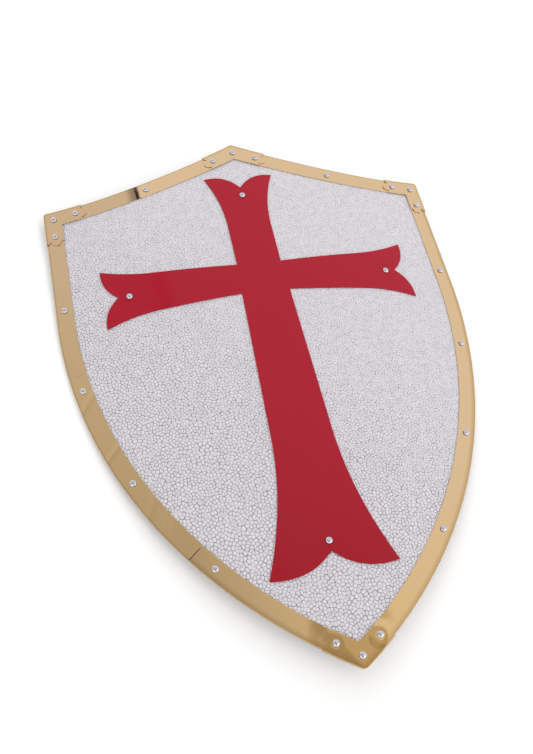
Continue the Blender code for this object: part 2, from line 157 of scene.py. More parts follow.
def drawEdge():
    halfWidth, sideRadius = edgeLine["halfWidth"], edgeLine["sideRadius"]
    centre = Vector((halfWidth - sideRadius, 0))
    centre.y = math.sqrt(sideRadius**2 - centre.x**2)
    tipAngle = math.atan2(-centre.y, -centre.x)
    side = []
    for i in range(1, edgeLine["sideSteps"] + 1):
        angle = tipAngle * (1 - i / edgeLine["sideSteps"])
        normal = Vector((math.cos(angle), math.sin(angle)))
        side.append(Spot(centre + normal * sideRadius, normal))
    tipNormal = Vector((math.cos(tipAngle), math.sin(tipAngle)))
    leftNormal = Vector((-tipNormal.x, tipNormal.y))
    tip = cornerSpots(Vector((0, 0)), leftNormal, tipNormal, edgeLine["tipRounding"])

    shoulderHeight = edgeLine["peakHeight"] - edgeLine["peakRise"]
    corner = Vector((halfWidth + edgeLine["shoulderFlare"], shoulderHeight))
    straight = (corner - side[-1].point).normalized()
    rounding = edgeLine["cornerRounding"]
    shoulder = cornerSpots(corner, Vector((straight.y, -straight.x)), Vector((0, 1)), rounding)

    peak = Vector((0, edgeLine["peakHeight"]))
    slope = Vector((math.cos(edgeLine["peakSlope"]), -math.sin(edgeLine["peakSlope"])))
    cornerHandle = corner - Vector((edgeLine["cornerHandle"], 0))
    peakHandle = peak + slope * edgeLine["peakHandle"]
    curve = curvePoints(corner, cornerHandle, peakHandle, peak, edgeLine["topSteps"])
    top = []
    for before, here, after in zip([corner] + curve, curve, curve[1:]):
        along = (after - before).normalized()
        top.append(Spot(here, Vector((along.y, -along.x))))
    peakNormal = Vector((-slope.y, slope.x))
    point = cornerSpots(peak, peakNormal, Vector((-peakNormal.x, peakNormal.y)), rounding)

    half = edgeLine["cornerSteps"] // 2
    upright = Side(tip[half:] + side + shoulder[: half + 1])
    return upright, Side(shoulder[half:] + top + point[: half + 1])


rightSide, topRight = drawEdge()
leftSide, topLeft = rightSide.mirrored(), topRight.mirrored()
wholeEdge = []
for side in (rightSide, topRight, topLeft, leftSide):
    wholeEdge += side.spots[:-1]


def nodeAxis(name):
    # the middle of a turned CAD solid's own points, which lies on its axis
    seen = {tuple(round(c, 6) for c in v.co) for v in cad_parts[name].data.vertices}
    return sum((Vector(p) for p in seen), Vector()) / len(seen)


# How the shield lies: rocked about X so that it balances on its two sides
crossTop, crossFoot = nodeAxis("rivet_cross_top"), nodeAxis("rivet_cross_foot")
rock = math.atan2(crossTop.z - crossFoot.z, crossTop.y - crossFoot.y)


# The red cross: its centre below the peak, and half an outline for each arm
cross = {
    "thickness": 0.0009,
    "offset": -0.0018,
    "belowPeak": 0.1888,
    "turn": math.radians(-0.31),
    "top": {
        "root": 0.0242, "taper": 0.0, "reach": 0.1412, "flare": 0.0712, "radius": 0.175,
        "notch": 0.0156, "bulge": ((0.0119, 0.0096), (0.0037, -0.0187)),
    },
    "side": {
        "root": 0.0188, "taper": 0.044, "reach": 0.1698, "flare": 0.0598, "radius": 0.185,
        "notch": 0.0158, "bulge": ((0.0113, 0.0094), (0.0008, -0.0165)),
    },
    "foot": {
        "root": 0.0260, "taper": 0.025, "reach": 0.3228, "flare": 0.1388, "radius": 0.368,
        "notch": 0.0175, "bulge": ((0.0127, 0.0137), (0.0053, -0.0306)),
    },
    "topRivet": 0.0121,         # from the top arm's notch to its rivet
    "flareSteps": 24,
    "lobeSteps": 18,
    "cutEdge": 0.00012,
    "rowSpacing": 0.008,
}


def placeOnCross(x, y):
    turned = Matrix.Rotation(cross["turn"], 2) @ Vector((x, y))
    return turned + Vector((cross["offset"], edgeLine["peakHeight"] - cross["belowPeak"]))


def armOutline(arm):
    start = arm["reach"] - arm["flare"]
    points = [Vector((start, arm["root"] + arm["taper"] * start))]
    for i in range(1, cross["flareSteps"] + 1):
        run = arm["flare"] * i / cross["flareSteps"]
        spread = arm["radius"] - math.sqrt(arm["radius"] ** 2 - run**2)
        points.append(Vector((start + run, arm["root"] + arm["taper"] * (start + run) + spread)))
    tip, notch = points[-1], Vector((arm["reach"] - arm["notch"], 0))
    nearNotch, nearTip = (Vector(handle) for handle in arm["bulge"])
    return points + curvePoints(tip, tip + nearTip, notch + nearNotch, notch, cross["lobeSteps"])


def crossOutline():
    outline = []
    arms = (
        (cross["top"], lambda out, aside: (aside, out)),
        (cross["side"], lambda out, aside: (-out, aside)),
        (cross["foot"], lambda out, aside: (-aside, -out)),
        (cross["side"], lambda out, aside: (out, -aside)),
    )
    for i, (arm, turned) in enumerate(arms):
        right = armOutline(arm)
        left = [Vector((p.x, -p.y)) for p in right[-2::-1]]
        inner = Vector((arms[(i + 1) % 4][0]["root"], -arm["root"]))
        outline += [placeOnCross(*turned(p.x, p.y)) for p in right + left + [inner]]
    return outline


rivet = {
    "headDiameter": 0.0068,
    "headHeight": 0.0022,
    "shankDiameter": 0.0030,
    "tailDiameter": 0.0054,
    "tailHeight": 0.0008,
    "domePower": 2.05,         # 2 is an ellipse, more is fuller at the rim
    "rimHeight": 0.00035,      # the short upright edge of a head
    "sides": 40,
    "steps": 10,
    "solidSides": 8,           # the solid rivets are turned with fewer sides
    "solidDomeRings": (30, 60),
}
crossSurface = sheet["gap"] + cross["thickness"]
rivetBack = -(sheet["panelThickness"] + sheet["gap"])
tailEnd = rivetBack - rivet["tailHeight"]


def solidRivetMiddle():
    # height of the mean of a solid cross rivet's points: its rings and the top of its dome
    base, sides = crossSurface + sheet["gap"], rivet["solidSides"]
    domeRings = [
        base + rivet["headHeight"] * math.sin(math.radians(a)) for a in rivet["solidDomeRings"]
    ]
    heights = [tailEnd, rivetBack, rivetBack, base, base] + domeRings
    return (sides * sum(heights) + base + rivet["headHeight"]) / (sides * len(heights) + 1)


def restPlace():
    # the shield's own frame in the world: its rock, and the cross's top rivet on its place
    arm = cross["top"]
    spot = placeOnCross(0.0, arm["reach"] - arm["notch"] - cross["topRivet"])
    turned = Matrix.Rotation(rock, 4, "X")
    widest = edgeLine["halfWidth"] + edgeLine["shoulderFlare"]
    halfFacet = widest / sheet["facets"] / sheet["rollRadius"]
    # the solid's flats lie this far inside the roll
    sag = sheet["rollRadius"] * (1 - math.cos(halfFacet))
    middle = turned @ Vector((spot.x, spot.y, solidRivetMiddle() - sag))
    return Matrix.Translation(nodeAxis("rivet_cross_top") - middle) @ turned


rest = restPlace()
print("rest: rocked", round(math.degrees(rock), 3), "degrees")


class Wire:
    # a value on its way through a finish's nodes
    def __init__(self, finish, socket):
        self.finish = finish
        self.socket = socket

    def math(self, operation, *values):
        return self.finish.add("ShaderNodeMath", {"operation": operation}, values)

    def __add__(self, other):
        return self.math("ADD", self, other)

    def __radd__(self, other):
        return self.math("ADD", other, self)

    def __sub__(self, other):
        return self.math("SUBTRACT", self, other)

    def __rsub__(self, other):
        return self.math("SUBTRACT", other, self)

    def __mul__(self, other):
        return self.math("MULTIPLY", self, other)

    def __rmul__(self, other):
        return self.math("MULTIPLY", other, self)

    def __neg__(self):
        return self.math("MULTIPLY", self, -1.0)


class NodeTree:
    # nodes added one by one, their wires worked with as numbers
    def __init__(self, tree):
        self.tree = tree

    def add(self, kind, settings=None, values=(), output=0):
        node = self.tree.nodes.new(kind)
        for name, value in (settings or {}).items():
            setattr(node, name, value)
        pairs = values.items() if isinstance(values, dict) else enumerate(values)
        for key, value in pairs:
            self.feed(node.inputs[key], value)
        return Wire(self, node.outputs[output])

    def feed(self, socket, value):
        if isinstance(value, Wire):
            self.tree.links.new(value.socket, socket)
        else:
            socket.default_value = value

    def step(self, value, low, high):
        return self.add("ShaderNodeMapRange", {"interpolation_type": "SMOOTHSTEP"},
                        {"Value": value, "From Min": low, "From Max": high})

    def blend(self, share, first, second):
        # sockets 6, 7 and output 2 are the colour ones
        values = {0: share, 6: first, 7: second}
        return self.add("ShaderNodeMix", {"data_type": "RGBA"}, values, output=2)

    def along(self, way, axis):
        settings = {"operation": "DOT_PRODUCT"}
        return self.add("ShaderNodeVectorMath", settings, (way, axis), output="Value")


class Finish(NodeTree):
    # one material and its shader
    def __init__(self, name, constants):
        self.material = bpy.data.materials.new(name)
        self.material.use_nodes = True
        super().__init__(self.material.node_tree)
        self.shader = self.tree.nodes["Principled BSDF"]
        for socket, value in constants.items():
            self.shader.inputs[socket].default_value = value
        self.object = self.add("ShaderNodeTexCoord", output="Object")

    def set(self, **values):
        for name, value in values.items():
            self.feed(self.shader.inputs[name.replace("_", " ")], value)

    def noise(self, scale, detail=2.0, stretch=(1, 1, 1), shift=0.0):
        values = {"Vector": self.object, "Scale": stretch, "Location": (shift, shift, shift)}
        place = self.add("ShaderNodeMapping", {}, values)
        values = {"Vector": place, "Scale": scale, "Detail": detail}
        return self.add("ShaderNodeTexNoise", {}, values)

    def attribute(self, name):
        return self.add("ShaderNodeAttribute", {"attribute_name": name}, output="Fac")

    def bump(self, height, distance=1.0):
        values = {"Height": height, "Distance": distance, "Strength": 1.0}
        return self.add("ShaderNodeBump", {}, values)


# White crackle paint: puffed flakes with the dark undercoat showing in the cracks
crackle = {
    "flakeColour": (0.695, 0.665, 0.70, 1),
    "shadeColour": (0.625, 0.597, 0.637, 1),
    "crackColour": (0.092, 0.080, 0.104, 1),
    "crackWidth": 0.17,         # share of a flake's half width
    "crackWander": 0.20,        # how raggedly the cracks run
    "wanderScale": 700,
    "puffStart": 0.30,          # from here a flake curves down into its cracks
    "leastPuff": 0.45,          # how much it does so where the cracks are closed
    "roughness": 0.33,
    "crackRoughness": 0.3,      # the cracks are rougher by this much
    "flakeBump": 0.00036,
    "grainBump": 0.00002,
    "grainScale": 2600,
}


def cracklePaint():
    finish = Finish("white crackle paint", {"Specular IOR Level": 0.45})
    edge = finish.attribute("crackDepth")          # 1 along a crack, 0 in the middle of a flake
    opened = finish.attribute("crackOpen")         # how far the cracks have opened here
    tone = finish.attribute("flakeTone")
    wander = finish.noise(crackle["wanderScale"], 2)
    width = crackle["crackWidth"] * (0.55 + 0.9 * opened)
    line = finish.step(edge + crackle["crackWander"] * (wander - 0.5), 1.0 - width, 1.0) * opened
    flake = finish.blend(tone, crackle["flakeColour"], crackle["shadeColour"])
    colour = finish.blend(line, flake, crackle["crackColour"])
    least = crackle["leastPuff"]
    swell = (1.0 - finish.step(edge, crackle["puffStart"], 1.0)) * (least + (1 - least) * opened)
    grain = finish.noise(crackle["grainScale"], 2)
    height = swell * crackle["flakeBump"] + grain * crackle["grainBump"]
    finish.set(
        Base_Color=colour, Roughness=crackle["roughness"] + crackle["crackRoughness"] * line,
        Normal=finish.bump(height),
    )
    return finish.material


redEnamel = {
    "colour": (0.362, 0.0042, 0.0188, 1),
    "paintedShadeColour": (0.315, 0.0030, 0.0135, 1),    # painted shade: the red is darker towards the foot, where less light falls
    "upWay": (0.5, 1.0, 0.0),
    "paintedShadeHeights": (-0.26, 0.02),                # fully shaded below the first, not shaded above the last
    "cloudScale": 7,
    "cloudDrift": 0.06,
    "roughness": 0.09,
    "haze": 0.07,                                # rougher by this much where it is hazy
    "hazeScale": 45,
    "peelBump": 0.0000004,                       # the faint orange peel of sprayed enamel
    "peelScale": 420,
}


def enamelFinish():
    finish = Finish("red enamel", {"Specular IOR Level": 0.23})
    clouds = finish.noise(redEnamel["cloudScale"], 4)
    up = finish.along(finish.object, redEnamel["upWay"])
    drifted = up + redEnamel["cloudDrift"] * (clouds - 0.5)
    # painted shade: the red darkens towards the foot
    footShade = 1.0 - finish.step(drifted, *redEnamel["paintedShadeHeights"])
    colour = finish.blend(footShade, redEnamel["colour"], redEnamel["paintedShadeColour"])
    peel = finish.noise(redEnamel["peelScale"], 2)
    haze = finish.noise(redEnamel["hazeScale"], 5, shift=0.3)
    finish.set(
        Base_Color=colour, Roughness=redEnamel["roughness"] + redEnamel["haze"] * haze,
        Normal=finish.bump(peel, redEnamel["peelBump"]),
    )
    return finish.material


brass = {
    "colour": (0.70, 0.503, 0.298, 1),
    "warmColour": (0.69, 0.476, 0.236, 1),      # towards the tip and the left
    "foldShadeColour": (0.52, 0.345, 0.16, 1),       # painted shade: darker along the fold, standing in for the darker surroundings it mirrors
    "upWay": (0.8, 1.0, 0.0),
    "warmHeights": (-0.25, 0.03),               # quite warm below the first, not above the last
    "cloudScale": 12,
    "cloudDrift": 0.08,
    "roughness": 0.022,
    "streaks": 0.02,                            # rougher by this much in the polishing streaks
    "streakScale": 90,
    "streakStretch": (5, 1, 1),
    "streakBump": 0.0000002,
    "smears": 0.05,                             # and by this much where hands have smeared it
    "smearScale": 38,
    "smearRange": (0.55, 0.8),
}


def brassFinish():
    finish = Finish("polished brass", {"Metallic": 1.0})
    clouds = finish.noise(brass["cloudScale"], 4)
    streaks = finish.noise(brass["streakScale"], 3, stretch=brass["streakStretch"])
    smears = finish.noise(brass["smearScale"], 5, shift=0.2)
    up = finish.along(finish.object, brass["upWay"])
    drifted = up + brass["cloudDrift"] * (clouds - 0.5)
    warm = 1.0 - finish.step(drifted, *brass["warmHeights"])
    face = finish.blend(warm, brass["colour"], brass["warmColour"])
    # painted shade along the fold
    colour = finish.blend(finish.attribute("folded"), face, brass["foldShadeColour"])
    rough = brass["roughness"] + brass["streaks"] * streaks
    rough = rough + brass["smears"] * finish.step(smears, *brass["smearRange"])
    finish.set(
        Base_Color=colour, Roughness=rough, Normal=finish.bump(streaks, brass["streakBump"]),
    )
    return finish.material


steel = {
    "colour": (0.56, 0.545, 0.60, 1),
    "dullColour": (0.48, 0.465, 0.52, 1),
    "roughness": 0.085,
    "marks": 0.08,              # rougher by this much in the hammer's marks
    "markScale": 700,
    "dullRange": (0.6, 0.8),
    "hammerBump": 0.0000014,
}


def steelFinish():
    finish = Finish("polished steel", {"Metallic": 1.0})
    marks = finish.noise(steel["markScale"], 2)
    dull = finish.step(marks, *steel["dullRange"])
    finish.set(
        Base_Color=finish.blend(dull, steel["colour"], steel["dullColour"]),
        Roughness=steel["roughness"] + steel["marks"] * marks,
        Normal=finish.bump(marks, steel["hammerBump"]),
    )
    return finish.material


def meshFrom(bm, name, sharp=30):
    bmesh.ops.recalc_face_normals(bm, faces=bm.faces)
    mesh = bpy.data.meshes.new(name)
    bm.to_mesh(mesh)
    bm.free()
    mesh.shade_smooth()
    mesh.set_sharp_from_angle(angle=math.radians(sharp))
    return mesh


def softenEdges(bm, size, segments):
    # take the worn corner off the cut edges of a flat sheet
    steep = math.radians(50)
    edges = [e for e in bm.edges if len(e.link_faces) == 2 and e.calc_face_angle(0) > steep]
    bmesh.ops.bevel(
        bm, geom=edges, offset=size, segments=segments, profile=0.5, affect="EDGES",
        clamp_overlap=True,
    )


def cutInLines(bm, spacing, normal):
    reach = [v.co.dot(normal) for v in bm.verts]
    for i in range(math.floor(min(reach) / spacing), math.ceil(max(reach) / spacing) + 1):
        bmesh.ops.bisect_plane(
            bm, geom=bm.verts[:] + bm.edges[:] + bm.faces[:], dist=1e-7,
            plane_co=normal * (i + 0.5) * spacing, plane_no=normal,
        )


def rollSheet(bm, name, cutEdge, segments, spacing, lift=None):
    # soften, cut finely both ways, roll, and lift by the height that a function gives
    bmesh.ops.remove_doubles(bm, verts=bm.verts, dist=1e-6)
    bmesh.ops.recalc_face_normals(bm, faces=bm.faces)
    softenEdges(bm, cutEdge, segments)
    cutInLines(bm, spacing[0], Vector((1, 0, 0)))
    cutInLines(bm, spacing[1], Vector((0, 1, 0)))
    bmesh.ops.remove_doubles(bm, verts=bm.verts, dist=2e-5)      # slivers would shade darkly
    bmesh.ops.dissolve_degenerate(bm, dist=1e-5, edges=bm.edges)
    for vertex in bm.verts:
        x, y, z = vertex.co
        vertex.co = rollPoint(x, y, z + (lift(x, y) if lift else 0))
    # a fold turns 11 degrees a step and stays smooth; the cut edges of the brass stay crisp
    return meshFrom(bm, name, 13 if segments > 1 else 30)


def addPiece(name, mesh, finish, nodes, place=None):
    mesh = mesh.copy()
    mesh.transform(rest @ place if place is not None else rest)
    piece = bpy.data.objects.new(name, mesh)
    bpy.context.scene.collection.objects.link(piece)
    mesh.materials.append(finish)
    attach(piece, "root")
    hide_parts(*nodes)
    return piece


# The crackle itself: flakes drawn round scattered middles, each a little puffed up
flakes = {
    "size": 0.0028,             # usual distance between the middles of two flakes
    "coarse": 0.0009,           # how much larger they are low on the left side and at the tip
    "vary": 0.0004,
    "height": 0.00018,
    "lean": 0.28,               # how far a flake's highest place lies off its middle
    "crowding": 0.69,           # closest distance, as a share of the size
    "packing": 0.87,            # area of a flake, as a share of its size squared
    "tries": 12,                # throws for each flake before its place counts as taken
    "block": 0.012,             # the panel is filled in blocks of this size
    "cell": 0.004,              # and neighbours are looked for in cells of this size
    "coarseBelow": 0.27,        # the coarse flakes lie below this, more so to the left
    "coarseAside": 0.9,
    "coarseOver": 0.12,
    "sizeDrift": 0.05,          # the size wanders over this length, the cracks over the next
    "openDrift": 0.007,
    "underRim": 0.0115,         # the crackle ends under the strips, this far in from the edge
    "underCross": 0.007,
    "leastOpen": 0.60,          # how far the cracks open where the flakes are finest
    "uneven": 0.9,              # how much that differs from one end of a crack to the other
}


def coarseness(x, y):
    above = y - flakes["coarseBelow"] + flakes["coarseAside"] * x
    return 0.5 - 0.5 * math.tanh(above / flakes["coarseOver"])


def flakeSize(x, y):
    drift = noise.noise(Vector((x, y, 5.0)) / flakes["sizeDrift"])
    return flakes["size"] + flakes["coarse"] * coarseness(x, y) + flakes["vary"] * drift


def crackOpening(x, y):
    drift = noise.noise(Vector((x, y, 1.0)) / flakes["openDrift"])
    least = flakes["leastOpen"]
    opened = least + (1 - least) * coarseness(x, y) + 0.15 * drift
    opened *= 1 + flakes["uneven"] * (random.random() - 0.5)
    return min(1.0, max(0.1, opened))


def scatterMiddles(inside):
    # darts thrown at the panel, thrown away where they land too near another
    left, right = -edgeLine["halfWidth"], edgeLine["halfWidth"]
    block, cell = flakes["block"], flakes["cell"]
    grid = {}
    middles = []
    for i in range(int(left / block) - 1, int(right / block) + 1):
        for j in range(-1, int(edgeLine["peakHeight"] / block) + 2):
            size = flakeSize((i + 0.5) * block, (j + 0.5) * block)
            wanted = int(block * block / (size * size * flakes["packing"]) + random.random())
            reach = size * flakes["crowding"]
            for attempt in range(wanted * flakes["tries"]):
                if wanted == 0:
                    break
                x, y = (i + random.random()) * block, (j + random.random()) * block
                key = (int(x // cell), int(y // cell))
                near = [
                    p for a in (-1, 0, 1) for b in (-1, 0, 1)
                    for p in grid.get((key[0] + a, key[1] + b), ())
                ]
                if all((p[0] - x) ** 2 + (p[1] - y) ** 2 > reach * reach for p in near):
                    grid.setdefault(key, []).append((x, y))
                    wanted -= 1
                    if inside(x, y):
                        middles.append(Vector((x, y)))
    return middles


def insideOutline(outline):
    # a quick test by the crossings of a level line, row by row
    rows = {}
    step = 0.002
    for a, b in zip(outline, outline[1:] + outline[:1]):
        low, high = min(a.y, b.y), max(a.y, b.y)
        for row in range(math.floor(low / step), math.floor(high / step) + 1):
            rows.setdefault(row, []).append((a, b))

    def test(x, y):
        hits = 0
        for a, b in rows.get(math.floor(y / step), ()):
            if (a.y > y) != (b.y > y) and x < a.x + (y - a.y) / (b.y - a.y) * (b.x - a.x):
                hits += 1
        return hits % 2 == 1

    return test


def cutAtLines(outline):
    # the outline with a point wherever a bisecting line will cross it
    points = []
    spacing = sheet["lineSpacing"]
    for a, b in zip(outline, outline[1:] + outline[:1]):
        points.append(a)
        low, high = sorted((a.x / spacing - 0.5, b.x / spacing - 0.5))
        lines = range(math.ceil(low + 1e-6), math.floor(high - 1e-6) + 1)
        cuts = [(k + 0.5) * spacing for k in lines]
        if b.x < a.x:
            cuts.reverse()
        points += [a.lerp(b, (cut - a.x) / (b.x - a.x)) for cut in cuts]
    return points


def middleOf(a, b, c):
    # the point that is equally far from three others, or none where they stand in a line
    span = 2 * (a.x * (b.y - c.y) + b.x * (c.y - a.y) + c.x * (a.y - b.y))
    if abs(span) < 1e-14:
        return None
    sa, sb, sc = a.length_squared, b.length_squared, c.length_squared
    return Vector((
        (sa * (b.y - c.y) + sb * (c.y - a.y) + sc * (a.y - b.y)) / span,
        (sa * (c.x - b.x) + sb * (a.x - c.x) + sc * (b.x - a.x)) / span,
    ))


def drawFlakes(bm, middles):
    # a flake is a fan of faces from its raised top down to the corners of the cracks round it
    points, _, triangles = geometry.delaunay_2d_cdt(middles, [], [], 0, 1e-9, False)[:3]
    centres, around = [], {}
    for number, (a, b, c) in enumerate(triangles):
        centres.append(middleOf(points[a], points[b], points[c]))
        if centres[-1] is not None:
            for corner in (a, b, c):
                around.setdefault(corner, []).append(number)

    depthLayer = bm.verts.layers.float.new("crackDepth")
    openLayer = bm.verts.layers.float.new("crackOpen")
    toneLayer = bm.faces.layers.float.new("flakeTone")
    corners = {}
    for middle, ring in around.items():
        here = points[middle]
        limit = 1.6 * flakeSize(here.x, here.y)
        if len(ring) < 3 or any((centres[n] - here).length > limit for n in ring):
            continue
        ring.sort(key=lambda n: math.atan2(centres[n].y - here.y, centres[n].x - here.x))
        outer = []
        for n in ring:
            if n not in corners:
                corners[n] = bm.verts.new((centres[n].x, centres[n].y, 0))
                corners[n][depthLayer] = 1.0
                corners[n][openLayer] = crackOpening(centres[n].x, centres[n].y)
            outer.append(corners[n])
        size = min((centres[n] - here).length for n in ring)
        share = min(1.0, size / flakes["size"] * 1.6)       # small flakes are flatter
        lift = flakes["height"] * share * (0.75 + 0.5 * random.random())
        aside = Vector((random.uniform(-1, 1), random.uniform(-1, 1))) * flakes["lean"] * size
        top = bm.verts.new((here.x + aside.x, here.y + aside.y, lift))
        top[openLayer] = crackOpening(here.x, here.y)
        tone = random.random() ** 2
        for a, b in zip(outer, outer[1:] + outer[:1]):
            face = bm.faces.new((top, a, b))
            face[toneLayer] = tone
    bmesh.ops.remove_doubles(bm, verts=bm.verts, dist=2e-5)
    bmesh.ops.dissolve_degenerate(bm, dist=1e-5, edges=bm.edges)
    return depthLayer, openLayer


def cutUpright(bm, face):
    # cut one wide face in upright lines, so that it can follow the roll
    spacing = sheet["lineSpacing"]
    reach = int(edgeLine["halfWidth"] / spacing) + 1
    faces = [face]
    for i in range(-reach, reach):
        near = set(faces)
        for face in faces:
            near.update(face.edges, face.verts)
        cut = bmesh.ops.bisect_plane(
            bm, geom=list(near), dist=1e-7,
            plane_co=((i + 0.5) * spacing, 0, 0), plane_no=(1, 0, 0),
        )
        faces = [f for f in cut["geom"] if isinstance(f, bmesh.types.BMFace)]


def panelMesh():
    outline = cutAtLines([spot.at(0) for spot in wholeEdge])
    painted = insideOutline([spot.at(flakes["underRim"]) for spot in wholeEdge])
    covered = insideOutline(crossOutline())
    inset = flakes["underCross"]

    def wellCovered(x, y):
        ways = ((1, 0), (-1, 0), (0, 1), (0, -1))
        return all(covered(x + a * inset, y + b * inset) for a, b in ways)

    middles = scatterMiddles(lambda x, y: painted(x, y) and not wellCovered(x, y))
    bm = bmesh.new()
    depthLayer, openLayer = drawFlakes(bm, middles)
    print("crackle:", len(middles), "flakes,", len(bm.faces), "faces")

    rim = [e for e in bm.edges if len(e.link_faces) == 1]
    for edge in rim:
        for vertex in edge.verts:
            vertex[openLayer] = 1.0
    front = [bm.verts.new((p.x, p.y, 0)) for p in outline]
    for vertex in front:                # under the strips the dark undercoat is left bare, which also paints the shade in the seam's gap
        vertex[depthLayer] = vertex[openLayer] = 1.0
    rim += [bm.edges.new((front[i - 1], front[i])) for i in range(len(front))]
    bmesh.ops.triangle_fill(
        bm, use_beauty=False, use_dissolve=False, edges=rim, normal=(0, 0, 1),
    )
    back = [bm.verts.new((p.x, p.y, -sheet["panelThickness"])) for p in outline]
    for i in range(len(front)):
        bm.faces.new((front[i - 1], front[i], back[i], back[i - 1]))
    cutUpright(bm, bm.faces.new(back))
    loose = [e for e in bm.edges if len(e.link_faces) != 2]
    print("panel:", len(bm.faces), "faces,", len(loose), "open edges")
    for vertex in bm.verts:
        vertex.co = rollPoint(*vertex.co)
    return meshFrom(bm, "panel", 40)


def crossMesh():
    outline = crossOutline()
    bm = bmesh.new()
    low, high = sheet["gap"], crossSurface
    lower = [bm.verts.new((p.x, p.y, low)) for p in outline]
    upper = [bm.verts.new((p.x, p.y, high)) for p in outline]
    bm.faces.new(lower)
    bm.faces.new(upper)
    for i in range(len(outline)):
        bm.faces.new((lower[i - 1], lower[i], upper[i], upper[i - 1]))
    spacing = (sheet["lineSpacing"], cross["rowSpacing"])
    return rollSheet(bm, "redCross", cross["cutEdge"], 1, spacing)


# Folded strips and corner plates
strip = {
    "thickness": 0.0006,
    "width": 0.0184,
    "lip": 0.0060,
    "bend": 0.0005,            # outer radius of the fold
    "bendSteps": 8,
    "besideBend": 0.0003,      # the flat starts this far from the fold
    "seamFromTip": 0.1775,
    "seamGap": 0.0009,
    "cutEdge": 0.00014,
    "cutEdgeSteps": 2,
    "spacing": 0.002,
    "mitreClear": 0.0006,      # rows of points stay this far from a corner's middle line
    "waveHeight": 0.00012,     # the strips are a little wavy, low on the left side
    "waveLength": 0.012,
    "waveStretch": 0.3,        # the waves run slanting across the strip
    "waveSlant": (0.9, 0.43),
    "waveLeft": (-0.06, 0.03),     # they fade out right of this, over this much
    "waveLow": (0.44, 0.05),       # and above this
    "waveElsewhere": 0.05,
    # kinks in the left side: two ends on the flat, height and half width
    "kinks": (((-0.2069, 0.2867), (-0.1987, 0.2973), 0.00042, 0.0030),
              ((-0.1893, 0.2292), (-0.1777, 0.2418), 0.00040, 0.0022),
              ((-0.1589, 0.1685), (-0.1521, 0.1826), 0.00036, 0.0036),
              ((-0.1464, 0.1475), (-0.1421, 0.1637), 0.00036, 0.0036),
              ((-0.2105, 0.3564), (-0.2050, 0.3314), 0.00022, 0.0040)),
    "kinkReach": 0.03,
    # swollen rings round the tip's rivets: rivet, height and radius
    "swells": (("rivet_tip_1", 0.00030, 0.0060), ("rivet_tip_3", 0.00010, 0.0075)),
}
plate = {
    "thickness": 0.0006,
    "overhang": 0.0004,
    "bend": 0.0007,
    "hornReach": 0.0087,       # from the end rivet to the end of its horns
    "notchReach": 0.0056,
    "tongueReach": 0.0121,
    "tongueHalfWidth": 0.0058,
    "tongueSteps": 14,
    "cornerReach": 0.0328,
    "peakReach": 0.0310,
    "tipReach": 0.0298,
}


def flatPlace(node):
    # where a rivet stands on the flat sheet
    here = rest.inverted() @ nodeAxis(node)
    return Vector((math.atan2(here.x, here.z + sheet["rollRadius"]) * sheet["rollRadius"], here.y))


def fadeOut(value, middle, over):
    return 0.5 - 0.5 * math.tanh((value - middle) / over)


def stripLift(x, y):
    # how far the brass stands off its true place: waves low on the left, kinks and rivet rings
    left, low = fadeOut(x, *strip["waveLeft"]), fadeOut(y, *strip["waveLow"])
    c, s = strip["waveSlant"]
    waveAt = Vector((c * x - s * y, (s * x + c * y) * strip["waveStretch"], 0.02))
    wave = 0.5 + 0.5 * noise.noise(waveAt / strip["waveLength"])
    least = strip["waveElsewhere"]
    lift = strip["waveHeight"] * wave * (least + (1 - least) * left * low)
    here = Vector((x, y))
    for start, end, height, width in strip["kinks"]:
        a, b = Vector(start), Vector(end)
        along = (b - a).normalized()
        off, run = (here - a).dot(Vector((-along.y, along.x))), (here - a).dot(along)
        if abs(off) < 6 * width and abs(run) < strip["kinkReach"]:
            lift += height * math.exp(-((off / width) ** 2))
    for middle, height, radius in swells:
        share = (here - middle).length / radius
        if share < 3:
            lift += height * share * share * math.exp(1 - share * share)
    return lift


def squareEnd(legDepth, startDepth):
    return []


def scallopedEnd(legDepth, startDepth):
    # a rounded tongue between two notches: (reach, depth) of each point
    middle = (legDepth + startDepth) / 2
    half = plate["tongueHalfWidth"]
    notch = plate["notchReach"] - plate["hornReach"]
    tongue = plate["tongueReach"] - plate["notchReach"]
    points = [(notch / 2, (startDepth + middle - half) / 2)]
    for i in range(plate["tongueSteps"] + 1):
        angle = math.pi * i / plate["tongueSteps"]
        points.append((notch + tongue * math.sin(angle), middle - half * math.cos(angle)))
    points.append((notch / 2, (legDepth + middle + half) / 2))
    return points


def clearOfMitre(spots, depth):
    # drop the rows that would cross a corner's middle line before they reach this depth
    corners = [s for s in spots if s.mitre is not None]

    def clear(spot):
        along = Vector((-spot.normal.y, spot.normal.x))
        for corner in corners:
            outer = (spot.at(0) - corner.at(0)).dot(along)
            inner = (spot.at(depth) - corner.at(depth)).dot(along)
            if inner * outer <= 0 or abs(inner) < strip["mitreClear"]:
                return False
        return True

    return [s for s in spots if s.mitre is not None or clear(s)]


